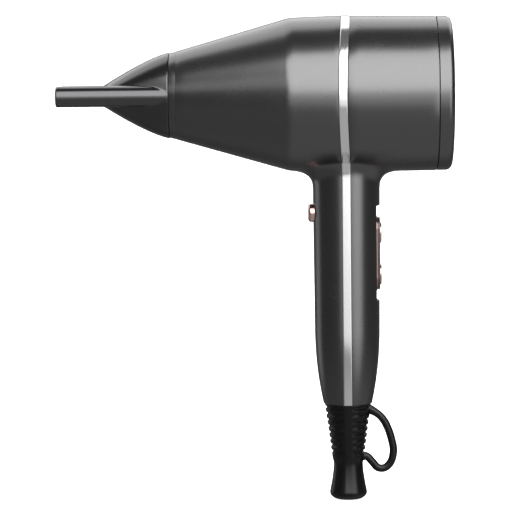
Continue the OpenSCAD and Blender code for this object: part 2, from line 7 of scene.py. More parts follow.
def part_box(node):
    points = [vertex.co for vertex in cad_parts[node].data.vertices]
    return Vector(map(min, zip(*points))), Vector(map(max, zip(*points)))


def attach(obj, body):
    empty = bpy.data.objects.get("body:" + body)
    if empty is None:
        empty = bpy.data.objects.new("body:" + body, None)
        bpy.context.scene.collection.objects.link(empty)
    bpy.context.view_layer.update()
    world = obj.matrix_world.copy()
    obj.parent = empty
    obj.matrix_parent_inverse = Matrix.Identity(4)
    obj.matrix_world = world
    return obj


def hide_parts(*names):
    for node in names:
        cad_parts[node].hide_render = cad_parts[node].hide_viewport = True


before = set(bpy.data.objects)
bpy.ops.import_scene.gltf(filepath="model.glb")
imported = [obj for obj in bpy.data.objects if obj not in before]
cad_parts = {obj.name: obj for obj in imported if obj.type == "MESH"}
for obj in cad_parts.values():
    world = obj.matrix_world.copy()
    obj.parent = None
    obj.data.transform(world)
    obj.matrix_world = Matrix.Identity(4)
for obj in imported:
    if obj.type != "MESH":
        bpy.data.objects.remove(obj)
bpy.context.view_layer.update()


# Places taken from the CAD pieces, in millimetres
def boxOf(node):
    low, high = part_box(node)
    return [v * 1000 for v in low], [v * 1000 for v in high]


capLow, capHigh = boxOf("filter_cap")
bandHigh = boxOf("trim_band")[1]
shellLow, shellHigh = boxOf("front_shell")
rearHigh = boxOf("rear_shell")[1]
nozzleLow, nozzleHigh = boxOf("nozzle")
plateLow, plateHigh = boxOf("control_plate")
rimLow, rimHigh = boxOf("control_rim")
speedLow, speedHigh = boxOf("speed_button")
warmLow, warmHigh = boxOf("temperature_button")
coldLow, coldHigh = boxOf("cold_shot_button")

axisZ = (capLow[2] + capHigh[2]) / 2
barrelR = shellHigh[2] - axisZ
bandHalf = bandHigh[0]
bandR = bandHigh[2] - axisZ
rearSeam = rearHigh[0]
capR = capHigh[2] - axisZ
rearEnd = capHigh[0]
coneFront = shellLow[0]
seamX = nozzleHigh[0]
slotX = nozzleLow[0]
nozzleR = (nozzleHigh[2] - nozzleLow[2]) / 2
handleFoot = shellLow[2]
print("frame read, barrel axis at", round(axisZ, 1), "mm")


def mixed(a, b, t):
    return a + (b - a) * t


def smooth(t):
    t = min(max(t, 0), 1)
    return t * t * (3 - 2 * t)


def turned(count):
    return [2 * math.pi * k / count for k in range(count)]


# ---- materials

def hexColour(text):
    channels = [int(text[k:k + 2], 16) / 255 for k in (1, 3, 5)]
    return [c / 12.92 if c <= 0.04045 else ((c + 0.055) / 1.055) ** 2.4 for c in channels] + [1]


def addNode(tree, kind, settings=None, links=None):
    node = tree.nodes.new(kind)
    for key, value in (settings or {}).items():
        if key in node.inputs:
            node.inputs[key].default_value = value
        else:
            setattr(node, key, value)
    for key, socket in (links or {}).items():
        tree.links.new(socket, node.inputs[key])
    return node


def startMaterial(name, settings):
    material = bpy.data.materials.new(name)
    material.use_nodes = True
    tree = material.node_tree
    shader = tree.nodes["Principled BSDF"]
    for key, value in settings.items():
        shader.inputs[key].default_value = value
    place = addNode(tree, "ShaderNodeTexCoord").outputs["Object"]
    return material, tree, shader, place


# Colour, roughness and height that wander over a surface; sizes are of the real grain in mm
def addGrain(tree, shader, place, look):
    grain = addNode(tree, "ShaderNodeTexNoise",
                    {"Scale": 1000 / look["grainMm"], "Detail": look.get("detail", 3.0)},
                    {"Vector": place})
    if "dark" in look:
        tint = addNode(tree, "ShaderNodeMix", {"data_type": "RGBA"}, {"Factor": grain.outputs["Fac"]})
        tint.inputs[6].default_value = hexColour(look["dark"])
        tint.inputs[7].default_value = hexColour(look["light"])
        tree.links.new(tint.outputs[2], shader.inputs["Base Color"])
    if "rough" in look:
        spread = addNode(tree, "ShaderNodeTexNoise",
                         {"Scale": 1000 / look.get("patchMm", 18), "Detail": 2.0}, {"Vector": place})
        rough = addNode(tree, "ShaderNodeMapRange",
                        {"To Min": look["rough"][0], "To Max": look["rough"][1]},
                        {"Value": spread.outputs["Fac"]})
        tree.links.new(rough.outputs["Result"], shader.inputs["Roughness"])
    if look.get("heightMm"):
        bump = addNode(tree, "ShaderNodeBump",
                       {"Strength": look.get("bumpStrength", 0.5), "Distance": look["heightMm"] / 1000},
                       {"Height": grain.outputs["Fac"]})
        tree.links.new(bump.outputs["Normal"], shader.inputs["Normal"])


def grainMaterial(name, settings, look):
    material, tree, shader, place = startMaterial(name, settings)
    addGrain(tree, shader, place, look)
    return material


# Metallic satin paint over moulded ABS: a dark grey body with a soft silky highlight
satinPaint = grainMaterial(
    "satinMetallicPaintOnAbs", {"Metallic": 1.0},
    {"grainMm": 0.35, "dark": "#616161", "light": "#6a6a6a", "rough": (0.25, 0.29),
     "heightMm": 0.004, "bumpStrength": 0.25})

# The same paint polished over nylon: darker and glossier, so the slot mirrors the room
glossPaint = grainMaterial(
    "glossMetallicPaintOnNylon", {"Metallic": 1.0},
    {"grainMm": 0.35, "dark": "#515152", "light": "#585859", "rough": (0.21, 0.25),
     "heightMm": 0.003, "bumpStrength": 0.2})

# Bright plated ABS: mirrors the softboxes with hardly any blur
brightChrome = grainMaterial(
    "brightChromePlating", {"Metallic": 1.0},
    {"grainMm": 60, "dark": "#e4e4e4", "light": "#eaeaea", "rough": (0.16, 0.19)})

# Rose gold vacuum plating: warm pink metal with a near mirror face
roseGold = grainMaterial(
    "roseGoldPlating", {"Metallic": 1.0},
    {"grainMm": 1.5, "dark": "#d6b0a8", "light": "#e0bcb3", "rough": (0.15, 0.2)})

# Dark moulded plate with a polished face
darkPlate = grainMaterial(
    "polishedDarkPolycarbonate", {"IOR": 1.58, "Coat Weight": 0.3, "Coat Roughness": 0.1},
    {"grainMm": 0.8, "dark": "#1d1717", "light": "#2a2122", "rough": (0.2, 0.26)})

# Moulded rubber of the sleeve and loop: black, with a soft sheen and a fine eroded skin
mouldedRubber = grainMaterial(
    "mouldedBlackRubber", {"IOR": 1.5, "Specular IOR Level": 0.3},
    {"grainMm": 0.5, "dark": "#030303", "light": "#050505", "rough": (0.22, 0.27),
     "heightMm": 0.02, "bumpStrength": 0.35})

# Glass filled nylon of grilles, fan and housings: matt with a faint fibre grain
blackNylon = grainMaterial(
    "mouldedBlackNylon", {"IOR": 1.53},
    {"grainMm": 0.4, "dark": "#1b1b1d", "light": "#252528", "rough": (0.45, 0.58),
     "heightMm": 0.02, "bumpStrength": 0.35})

# Zinc plated steel of the motor, shaft and screws: dull silver with drawn marks
platedSteel = grainMaterial(
    "zincPlatedSteel", {"Metallic": 1.0},
    {"grainMm": 0.6, "dark": "#9a9c9e", "light": "#b7b9bb", "rough": (0.28, 0.4),
     "heightMm": 0.005, "bumpStrength": 0.3})

# Pressed mica sheet: pale brown flakes with a slight pearl shine
micaSheet = grainMaterial(
    "pressedMicaSheet", {"IOR": 1.58, "Metallic": 0.1},
    {"grainMm": 2.2, "detail": 6.0, "dark": "#9a8560", "light": "#c9b78f", "rough": (0.35, 0.55),
     "heightMm": 0.03, "bumpStrength": 0.4})

# Heating wire with an oxide skin from use
oxidisedWire = grainMaterial(
    "oxidisedNichromeWire", {"Metallic": 0.9},
    {"grainMm": 0.9, "dark": "#5d544a", "light": "#8c7f70", "rough": (0.35, 0.5)})

# Oil filled sintered bronze with a grainy face
sinteredBronze = grainMaterial(
    "sinteredBronze", {"Metallic": 1.0},
    {"grainMm": 0.3, "dark": "#8a6336", "light": "#b2854d", "rough": (0.4, 0.55),
     "heightMm": 0.01, "bumpStrength": 0.4})

# Enamelled copper winding packed round the rotor
enamelledCopper = grainMaterial(
    "enamelledCopperWinding", {"Metallic": 0.9},
    {"grainMm": 0.5, "dark": "#7b3d1d", "light": "#b4673a", "rough": (0.25, 0.4),
     "heightMm": 0.05, "bumpStrength": 0.5})

# Green resist over glass fibre board
circuitBoard = grainMaterial(
    "glassFibreBoard", {"IOR": 1.55},
    {"grainMm": 0.7, "dark": "#1c5233", "light": "#2b6b45", "rough": (0.3, 0.4),
     "heightMm": 0.01, "bumpStrength": 0.3})

# Glazed ceramic sleeve of the fuse
firedCeramic = grainMaterial(
    "firedCeramic", {"IOR": 1.52},
    {"grainMm": 0.6, "dark": "#d3cdbd", "light": "#e5e0d3", "rough": (0.4, 0.5)})

# Epoxy dipped film capacitor
dippedResin = grainMaterial(
    "dippedEpoxyResin", {"IOR": 1.55},
    {"grainMm": 1.2, "dark": "#a77c1f", "light": "#c0942f", "rough": (0.2, 0.3)})


# Fine woven steel filter: the wires stand up in two directions, drawn at 0.8 mm pitch
def wovenMesh():
    weave = {"pitchMm": 0.8, "dark": "#0d0d0e", "light": "#8f9295"}
    material, tree, shader, place = startMaterial(
        "wovenSteelFilter", {"Metallic": 0.6, "Roughness": 0.4})
    split = addNode(tree, "ShaderNodeSeparateXYZ", {}, {"Vector": place})
    rate = math.pi * 1000 / weave["pitchMm"]
    waves = []
    for axis in ("Y", "Z"):
        run = addNode(tree, "ShaderNodeMath", {"operation": "MULTIPLY"},
                      {0: split.outputs[axis]})
        run.inputs[1].default_value = rate
        wave = addNode(tree, "ShaderNodeMath", {"operation": "SINE"}, {0: run.outputs[0]})
        waves.append(addNode(tree, "ShaderNodeMath", {"operation": "ABSOLUTE"},
                             {0: wave.outputs[0]}).outputs[0])
    hole = addNode(tree, "ShaderNodeMath", {"operation": "MULTIPLY"}, {0: waves[0], 1: waves[1]})
    tint = addNode(tree, "ShaderNodeMix", {"data_type": "RGBA"}, {"Factor": hole.outputs[0]})
    tint.inputs[6].default_value = hexColour(weave["light"])
    tint.inputs[7].default_value = hexColour(weave["dark"])
    tree.links.new(tint.outputs[2], shader.inputs["Base Color"])
    bump = addNode(tree, "ShaderNodeBump", {"Strength": 0.6, "Distance": 0.0002, "invert": True},
                   {"Height": hole.outputs[0]})
    tree.links.new(bump.outputs["Normal"], shader.inputs["Normal"])
    return material


wovenSteel = wovenMesh()
print("materials made")


# ---- mesh making

# Rows of points, each row as long as the others, joined into one closed skin
def gridPiece(name, rows, material, wrapRows=False, caps=True, sharp=35):
    count = len(rows[0])
    faces = []
    for i in range(len(rows) if wrapRows else len(rows) - 1):
        for k in range(count):
            a, b = i * count + k, i * count + (k + 1) % count
            j = (i + 1) % len(rows)
            faces.append((a, b, j * count + (k + 1) % count, j * count + k))
    if caps and not wrapRows:
        faces.append(tuple(reversed(range(count))))
        faces.append(tuple(range((len(rows) - 1) * count, len(rows) * count)))
    mesh = bpy.data.meshes.new(name)
    mesh.from_pydata([[v / 1000 for v in point] for row in rows for point in row], [], faces)
    mesh.validate()
    mesh.shade_smooth()
    piece = bpy.data.objects.new(name, mesh)
    bpy.context.scene.collection.objects.link(piece)
    mesh.materials.append(material)
    faceOutward(mesh)
    mesh.set_sharp_from_angle(angle=math.radians(sharp))
    return piece


def faceOutward(mesh):
    work = bmesh.new()
    work.from_mesh(mesh)
    bmesh.ops.recalc_face_normals(work, faces=work.faces)
    work.to_mesh(mesh)
    work.free()


def softenEdges(piece, widthMm, segments=3, angle=40):
    bevel = piece.modifiers.new("softEdges", "BEVEL")
    bevel.width = widthMm / 1000
    bevel.segments = segments
    bevel.limit_method = "ANGLE"
    bevel.angle_limit = math.radians(angle)
    bevel.harden_normals = True
    return piece


# Quarter of a circle between two straight edges of a profile, as [radius, x] points
def corner(radius, along, size, startAngle, steps=6):
    return [(radius + size * math.cos(math.radians(startAngle + 90 * k / steps)),
             along + size * math.sin(math.radians(startAngle + 90 * k / steps)))
            for k in range(steps + 1)]


# A closed profile of (radius, x) points turned about the barrel's axis
def turnedPiece(name, profile, material, count=192, sharp=35):
    rows = [[(x, r * math.sin(a), axisZ + r * math.cos(a)) for a in turned(count)]
            for r, x in profile]
    return gridPiece(name, rows, material, wrapRows=True, sharp=sharp)


def settle(piece, body, slot, *nodes):
    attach(piece, body)
    if nodes:
        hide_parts(*nodes)
    return piece


# ---- housing

housing = {
    "wall": 2.0, "edge": 0.35, "roundShare": 0.3, "frontEdge": 0.12, "capGap": 0.15,
    "shoulderX": -32.0, "shoulderReach": 3.0, "shoulderR": 44.3, "coneR": 25.5, "rearR": 44.5,
    "bandBow": 2.3, "bowLength": 30, "handleTopR": 19.4, "gripR": 18.85, "curveTop": 100.0,
    "footR": 14.1, "footGap": 0.1, "filletAlong": 11.5, "filletAcross": 4.6,
    "filletDown": 9.0, "filletSideDown": 7.0, "stripHalf": 2.45, "pocketWall": 1.2,
}


# The band bows forward a little on the barrel's sides, and the shells follow it
def bowed(point):
    x, y, z = point
    fade = max(0, 1 - (x / housing["bowLength"]) ** 2) ** 2
    return (x - housing["bandBow"] * (abs(y) / barrelR) ** 2.2 * fade, y, z)


def barrelOutline():
    shoulder = Vector((housing["shoulderR"], housing["shoulderX"]))
    front = Vector((housing["coneR"], coneFront))
    reach = housing["shoulderReach"]
    start = shoulder + (front - shoulder).normalized() * reach
    end = shoulder + Vector((0, reach))
    points = [front + (start - front) * k / 10 for k in range(10)]
    for k in range(13):
        t = k / 12
        points.append(start * (1 - t) ** 2 + shoulder * 2 * t * (1 - t) + end * t * t)
    last = Vector((barrelR, -bandHalf))
    points += [Vector((end.x + (last.x - end.x) * math.sin(math.pi / 2 * k / 8),
                       mixed(end.y, last.y, k / 8))) for k in range(1, 9)]
    return [(p.x, p.y) for p in points]


def barrelRadius(x):
    if x > 0:
        return mixed(barrelR, housing["rearR"], x / rearSeam)
    outline = barrelOutline()
    for (r0, x0), (r1, x1) in zip(outline, outline[1:]):
        if x0 <= x <= x1:
            return mixed(r0, r1, (x - x0) / (x1 - x0))
    return barrelR


# Handle radius at a height, straight above and one long curve down to the sleeve
def handleRadius(z):
    if z >= housing["curveTop"]:
        top = axisZ - barrelR
        return mixed(housing["gripR"], housing["handleTopR"],
                     (z - housing["curveTop"]) / (top - housing["curveTop"]))
    drop = housing["gripR"] - housing["footR"]
    length = housing["curveTop"] - handleFoot
    bend = (length ** 2 + drop ** 2) / (2 * drop)
    return housing["gripR"] - bend + math.sqrt(bend ** 2 - (housing["curveTop"] - z) ** 2)


# Lowest point of the barrel's skin over a spot at a distance and direction from the handle axis
def underside(distance, angle):
    r = barrelRadius(distance * math.cos(angle))
    return axisZ - math.sqrt(r ** 2 - (distance * math.sin(angle)) ** 2)


def filletReach(angle):
    return mixed(housing["filletAlong"], housing["filletAcross"], math.sin(angle) ** 2)


# Skin of the fillet between handle and barrel in one direction; t runs from handle to barrel
def filletPoint(angle, t, proud=0.0):
    reach = filletReach(angle)
    inner = housing["handleTopR"] + proud
    outer = inner + reach
    high = underside(outer, angle) - proud
    slope = (underside(outer + 0.2, angle) - underside(outer - 0.2, angle)) / 0.4
    drop = mixed(housing["filletDown"], housing["filletSideDown"], math.sin(angle) ** 2)
    low = underside(inner, angle) - drop - proud
    bend = high - slope * reach
    rho = inner * (1 - t) ** 2 + inner * 2 * t * (1 - t) + outer * t * t
    return rho, low * (1 - t) ** 2 + bend * 2 * t * (1 - t) + high * t * t


# Angles of one half of the handle, kept clear of the strips; side is -1 for the front half
def halfAngle(t, distance, side, gap):
    edge = math.asin(min(gap / distance, 1))
    start = math.pi / 2 + edge if side < 0 else -math.pi / 2 + edge
    return start + (math.pi - 2 * edge) * t


def makeBarrelShell(name, outline, frontEdge):
    edge, wall = housing["edge"], housing["wall"]
    share = housing["roundShare"]
    (r0, x0), (r1, x1) = outline[0], outline[-1]
    profile = ([(r0 - wall, x0), (r0 - frontEdge, x0),
                (r0 - frontEdge * share, x0 + frontEdge * share), (r0, x0 + frontEdge)]
               + outline[1:-1]
               + [(r1, x1 - edge), (r1 - edge * share, x1 - edge * share), (r1 - edge, x1),
                  (r1 - wall, x1)]
               + [(r - wall, x) for r, x in reversed(outline[1:-1])])
    rows = [[bowed((x, r * math.sin(a), axisZ + r * math.cos(a))) for a in turned(256)]
            for r, x in profile]
    return gridPiece(name, rows, satinPaint, wrapRows=True)


def makeHandleHalf(name, side, levels, pocket=None):
    steps, wall = 48, housing["wall"]
    rows = []
    for z, cut in levels:
        r = handleRadius(z)
        skin, back = [], []
        for k in range(steps + 1):
            t = k / steps
            a = halfAngle(t, r, side, housing["stripHalf"])
            x, y = r * math.cos(a), r * math.sin(a)
            if pocket and cut:
                x = min(x, pocket["floorX"])
            skin.append(bowed((x, y, z)))
            a = halfAngle(t, r - wall, side, housing["stripHalf"])
            x, y = (r - wall) * math.cos(a), (r - wall) * math.sin(a)
            if pocket:
                x = min(x, pocket["floorX"] - housing["pocketWall"])
            back.append(bowed((x, y, z)))
        rows.append(skin + back[::-1])
    return softenEdges(gridPiece(name, rows, satinPaint), 0.3, 2, 50)


def handleLevels(pocket=None):
    top = axisZ - barrelR + 4
    foot = handleFoot + housing["footGap"]
    levels = [(mixed(foot, housing["curveTop"], k / 24), False) for k in range(25)]
    if pocket:
        low, high = pocket["low"], pocket["high"]
        levels += [(mixed(housing["curveTop"], low, k / 4), False) for k in range(1, 5)]
        # The two ends of the pocket lean a little
        sunk = [mixed(low, high, k / 12) for k in range(13)]
        sunk[0] += pocket["lean"]
        sunk[-1] -= pocket["lean"]
        levels += [(z, True) for z in sunk]
        levels += [(mixed(high, top, k / 8), False) for k in range(9)]
    else:
        levels += [(mixed(housing["curveTop"], top, k / 24), False) for k in range(1, 25)]
    return levels


# The skin of one half of the fillet, closed by a few hidden rows inside the housing
fillet = {"around": 96, "along": 18, "middleR": 24, "outR": 4, "inR": 1.2, "up": 1.5, "down": 6}


def makeFillet(name, side):
    around, gap = fillet["around"], housing["stripHalf"]
    outer, inner = housing["handleTopR"] + fillet["outR"], housing["handleTopR"] - fillet["inR"]
    rows = []
    for i in range(around + 1):
        row = []
        for k in range(fillet["along"] + 1):
            t = k / fillet["along"]
            rho = filletPoint(halfAngle(i / around, fillet["middleR"], side, gap), t)[0]
            angle = halfAngle(i / around, rho, side, gap)
            rho, z = filletPoint(angle, t)
            row.append(bowed((rho * math.cos(angle), rho * math.sin(angle), z)))
        for rho, lift in ((outer, fillet["up"]), (inner, fillet["up"]), (inner, -fillet["down"])):
            angle = halfAngle(i / around, rho, side, gap)
            row.append(bowed((rho * math.cos(angle), rho * math.sin(angle),
                              underside(rho, angle) + lift)))
        rows.append(row)
    return gridPiece(name, rows, satinPaint, sharp=60)


pocket = {
    "floorX": rimLow[0] - 0.02, "low": plateLow[2] - 6.2, "high": plateHigh[2] + 6.8, "lean": 0.35,
}

frontParts = [
    makeBarrelShell("frontShellBarrel", barrelOutline(), housing["frontEdge"]),
    makeHandleHalf("frontShellHandle", -1, handleLevels()),
    makeFillet("frontShellFillet", -1),
]
rearPlaces = [mixed(bandHalf, rearSeam - housing["capGap"], k / 8) for k in range(9)]
rearOutline = [(barrelRadius(x), x) for x in rearPlaces]
rearParts = [
    makeBarrelShell("rearShellBarrel", rearOutline, housing["edge"]),
    makeHandleHalf("rearShellHandle", 1, handleLevels(pocket), pocket),
    makeFillet("rearShellFillet", 1),
]
for part in frontParts:
    settle(part, "housing", "graphite_abs", "front_shell")
for part in rearParts:
    settle(part, "housing", "graphite_abs", "rear_shell")
print("shells made")


# ---- bright band

band = {
    "half": 2.52, "proud": 0.3, "depth": 1.6, "edge": 0.45, "footGap": 0.1,
    "handleSteps": 60, "filletSteps": 24, "ringSteps": 120,
}


# Half of the band's run in the Y-Z plane: up the handle, through the fillet, round the barrel.
# The third value says how far the band's face follows the handle's round.
def bandRun():
    lift = band["proud"]
    sideways = math.pi / 2
    low, high = handleFoot + band["footGap"], filletPoint(sideways, 0)[1]
    steps = band["handleSteps"]
    heights = [mixed(low, high, k / steps) for k in range(steps)]
    run = [(handleRadius(z) + lift, z, 1) for z in heights]
    steps = band["filletSteps"]
    run += [(*filletPoint(sideways, k / steps, lift), 1 - k / steps) for k in range(steps + 1)]
    y, z = run[-1][:2]
    start, steps = math.atan2(y, z - axisZ), band["ringSteps"]
    run += [(bandR * math.sin(a), axisZ + bandR * math.cos(a), 0)
            for a in [start * (1 - k / steps) for k in range(1, steps + 1)]]
    return run


# Outline across the band: round edges, and a crown that follows the handle
def bandAcross(share):
    half, edge, depth = band["half"], band["edge"], band["depth"]
    r = housing["gripR"]
    skin = [(half - edge + edge * math.cos(a), edge * math.sin(a) - edge)
            for a in [math.pi / 2 * k / 5 for k in range(6)]]
    skin += [(mixed(half - edge, -half + edge, k / 6), 0) for k in range(1, 6)]
    skin += [(-x, out) for x, out in reversed(skin[:6])]
    crowned = [(x, out + share * (math.sqrt(r * r - x * x) - r)) for x, out in skin]
    return [(half, -depth)] + crowned + [(-half, -depth)]


def makeBand():
    half = bandRun()
    run = half[:-1] + [(-y, z, share) for y, z, share in reversed(half)]
    rows = []
    for i, (y, z, share) in enumerate(run):
        ahead, behind = run[min(i + 1, len(run) - 1)], run[max(i - 1, 0)]
        way = Vector((ahead[0] - behind[0], ahead[1] - behind[1])).normalized()
        out = Vector((way.y, -way.x))
        rows.append([bowed((x, y + out.x * rise, z + out.y * rise))
                     for x, rise in bandAcross(share)])
    return gridPiece("brightBand", rows, brightChrome, sharp=50)


settle(makeBand(), "housing", "bright_chrome", "trim_band")
print("band made")


# ---- rear cap

cap = {
    "seamGap": 0.22, "seamEdge": 0.3, "edge": 3.6, "lip": 1.2, "rimFlat": 0.6,
    "mouthR": 36.0, "mouthWall": 2.2, "mouthDepth": 6.0, "skirtIn": 2.45, "skirtWall": 1.05,
    "skirtLength": 4.6,
}


def makeRearCap():
    front, skirtR = rearSeam + cap["seamGap"], capR - cap["skirtIn"]
    mouthR, lip, edge = cap["mouthR"], cap["lip"], cap["edge"]
    profile = [(skirtR - cap["skirtWall"], front - cap["skirtLength"]),
               (skirtR, front - cap["skirtLength"]), (skirtR, front),
               (capR - cap["seamEdge"], front), (capR, front + cap["seamEdge"])]
    profile += corner(capR - edge, rearEnd - edge, edge, 0, 10)
    profile += [(mouthR + lip + cap["rimFlat"], rearEnd)]
    profile += corner(mouthR + lip, rearEnd - lip, lip, 90, 6)
    profile += [(mouthR, rearEnd - cap["mouthDepth"]),
                (mouthR + cap["mouthWall"], rearEnd - cap["mouthDepth"])]
    return turnedPiece("rearCap", profile, satinPaint, 256)


settle(makeRearCap(), "rear_filter", "graphite_abs", "filter_cap")
print("cap made")


# ---- neck and nozzle

neck = {
    "step": 0.3, "backStep": 0.15, "seamGap": 0.12, "backGap": 0.05, "edge": 0.3,
    "spigotR": 19.5, "spigotWall": 0.6, "spigotLength": 7.4, "plugR": 23.0, "plugLength": 4,
}


def makeNeck():
    neckR, backR = nozzleR - neck["step"], housing["coneR"] - neck["backStep"]
    front, back = seamX + neck["seamGap"], coneFront - neck["backGap"]
    spigotR, spigotFront = neck["spigotR"], seamX - neck["spigotLength"]
    boreR, plugBack, edge = spigotR - neck["spigotWall"], back + neck["plugLength"], neck["edge"]
    share = housing["roundShare"]
    profile = [(boreR, plugBack), (boreR, spigotFront), (spigotR, spigotFront), (spigotR, front),
               (neckR - edge, front), (neckR - edge * share, front + edge * share),
               (neckR, front + edge), (backR, back), (neck["plugR"], back),
               (neck["plugR"], plugBack)]
    return turnedPiece("outletNeck", profile, satinPaint, 192)


# A round wedge that runs into a flat slot; "ease" bends its top and bottom, "crease" rounds the joint
nozzleShape = {
    "wedgeLen": 38.3, "ease": 1.3, "slotHalfT": 5.9, "wall": 1.6, "crease": 0.5,
    "sideStart": 24.75, "sideEnd": 29.0, "narrowing": 8.0, "lip": 1.0, "innerLip": 0.3,
    "boreR": 20.75, "boreLen": 8.0, "boreStep": 0.5,
    "seamRings": [(0.12, 0.3), (0.22, 0.08), (0.45, 0)], "count": 320, "crowding": 0.36,
}


# Distance from the axis to the nozzle's skin at a place along it, in one direction
def nozzleReach(x, angle, inset):
    shape = nozzleShape
    share = min((seamX - x) / shape["wedgeLen"], 1)
    high = nozzleR - (nozzleR - shape["slotHalfT"]) * max(share, 0) ** shape["ease"] - inset
    wide = nozzleR - shape["narrowing"] * share - inset
    c, s = math.cos(angle), math.sin(angle)
    wedge = 1 / math.sqrt((c / wide) ** 2 + (s / high) ** 2) if x >= seamX - shape["wedgeLen"] else 0
    r = shape["slotHalfT"] - inset
    along = (seamX - x) / (seamX - slotX)
    reach = mixed(shape["sideStart"], shape["sideEnd"], along) - inset - r
    flat = r / max(abs(s), 1e-6)
    if abs(c) * flat > reach:
        flat = reach * abs(c) + math.sqrt(max(r * r - (reach * s) ** 2, 0))
    gap = wedge - flat
    soft = shape["crease"]
    if abs(gap) < soft:
        return max(wedge, flat) + (soft - abs(gap)) ** 2 / (4 * soft)
    return max(wedge, flat)


def makeNozzle():
    shape = nozzleShape
    # Directions crowd towards the slot's round sides, where the skin curves most
    angles = [t - shape["crowding"] * math.sin(2 * t) for t in turned(shape["count"])]
    lip, innerLip, wall = shape["lip"], shape["innerLip"], shape["wall"]
    wedgeEnd, inside = seamX - shape["wedgeLen"], seamX - shape["boreLen"]

    def ring(x, inset):
        return [(x, nozzleReach(x, a, inset) * math.cos(a),
                 axisZ + nozzleReach(x, a, inset) * math.sin(a)) for a in angles]

    def boreRing(x):
        return [(x, shape["boreR"] * math.cos(a), axisZ + shape["boreR"] * math.sin(a))
                for a in angles]

    rows = [ring(seamX - back, inset) for back, inset in shape["seamRings"]]
    start = seamX - shape["seamRings"][-1][0]
    rows += [ring(mixed(start, wedgeEnd, k / 70), 0) for k in range(1, 70)]
    rows += [ring(mixed(wedgeEnd, slotX + lip, k / 24), 0) for k in range(25)]
    rows += [ring(slotX + lip - lip * math.sin(a), lip - lip * math.cos(a))
             for a in [math.pi / 2 * k / 5 for k in range(1, 6)]]
    rows += [ring(slotX + innerLip - innerLip * math.cos(a), wall - innerLip + innerLip * math.sin(a))
             for a in [math.pi / 2 * k / 3 for k in range(4)]]
    rows += [ring(mixed(slotX + innerLip, wedgeEnd, k / 10), wall) for k in range(1, 11)]
    rows += [ring(mixed(wedgeEnd, inside - shape["boreStep"], k / 24), wall) for k in range(25)]
    rows += [boreRing(inside), boreRing(seamX - shape["seamRings"][0][0])]
    return gridPiece("slotNozzle", rows, glossPaint, wrapRows=True)


settle(makeNeck(), "housing", "graphite_abs", "outlet_collar")
settle(makeNozzle(), "nozzle", "graphite_gloss", "nozzle")
print("nozzle made")


# ---- buttons and plate

# A round key turned about an axis along X; side is the way it faces
def makeKey(name, low, high, side, shape):
    y, z = (low[1] + high[1]) / 2, (low[2] + high[2]) / 2
    face = high[0] if side > 0 else low[0]
    r, edge, deep, step = shape["radius"], shape["edge"], shape["deep"], shape["step"]
    dishR = r - edge - shape["rimWidth"] - shape["stepWidth"]
    outline = [(r - shape["wall"], -deep), (r, -deep), (r, -edge)]
    outline += [(r - edge + edge * math.cos(a), -edge + edge * math.sin(a))
                for a in [math.pi / 2 * k / 6 for k in range(1, 7)]]
    outline += [(r - edge - shape["rimWidth"], 0), (dishR, -step)]
    outline += [(dishR * (1 - k / 8), -step - shape["dish"] * math.sin(math.pi / 2 * k / 8))
                for k in range(1, 8)]
    outline += [(shape["middleR"], -step - shape["dish"]), (shape["middleR"], -deep)]
    rows = [[(face + side * out, y + rho * math.cos(a), z + rho * math.sin(a)) for a in turned(96)]
            for rho, out in outline]
    return gridPiece(name, rows, roseGold, wrapRows=True)


# A narrow flat rim, a small step and a shallow dish, the same on each key
keyFace = {"wall": 0.6, "rimWidth": 0.5, "stepWidth": 0.4, "step": 0.12, "middleR": 0.02}
rearKey = {"radius": 6.1, "edge": 0.55, "deep": 5.4, "dish": 0.25, **keyFace}
coldKey = {"radius": 5.4, "edge": 1.7, "deep": 6.2, "dish": 0.2, **keyFace}
settle(makeKey("speedKey", speedLow, speedHigh, 1, rearKey), "speed_key", "rose_gold",
       "speed_button")
settle(makeKey("temperatureKey", warmLow, warmHigh, 1, rearKey), "temperature_key", "rose_gold",
       "temperature_button")
settle(makeKey("coldShotKey", coldLow, coldHigh, -1, coldKey), "cold_shot_key", "rose_gold",
       "cold_shot_button")


# Flat plate with round ends on the back of the handle, with round holes for the keys
def makePocketPlate(name, low, high, material, shape):
    wide = (high[1] - low[1]) / 2
    middle, half = (low[2] + high[2]) / 2, (high[2] - low[2]) / 2
    steps = shape["steps"]
    outline = []
    for end, start in ((half - wide, 0), (wide - half, math.pi)):
        for k in range(steps + 1):
            a = start + math.pi * k / steps
            outline.append((wide * math.cos(a), middle + end + wide * math.sin(a)))
    work = bmesh.new()
    loops = [outline]
    for keyLow, keyHigh in ((speedLow, speedHigh), (warmLow, warmHigh)):
        z = (keyLow[2] + keyHigh[2]) / 2
        loops.append([(shape["holeR"] * math.cos(a), z + shape["holeR"] * math.sin(a))
                      for a in turned(steps)])
    edges = []
    for loop in loops:
        verts = [work.verts.new((low[0] / 1000, y / 1000, z / 1000)) for y, z in loop]
        edges += [work.edges.new((verts[k], verts[(k + 1) % len(verts)])) for k in range(len(verts))]
    bmesh.ops.triangle_fill(work, use_beauty=True, use_dissolve=True, edges=edges)
    faces = list(work.faces)
    grown = bmesh.ops.extrude_face_region(work, geom=faces)
    lifted = [v for v in grown["geom"] if isinstance(v, bmesh.types.BMVert)]
    bmesh.ops.translate(work, vec=((high[0] - low[0]) / 1000, 0, 0), verts=lifted)
    bmesh.ops.remove_doubles(work, verts=work.verts, dist=1e-7)
    bmesh.ops.recalc_face_normals(work, faces=work.faces)
    mesh = bpy.data.meshes.new(name)
    work.to_mesh(mesh)
    work.free()
    mesh.shade_smooth()
    mesh.set_sharp_from_angle(angle=math.radians(35))
    mesh.materials.append(material)
    piece = bpy.data.objects.new(name, mesh)
    bpy.context.scene.collection.objects.link(piece)
    return softenEdges(piece, shape["edge"], 3, 50)


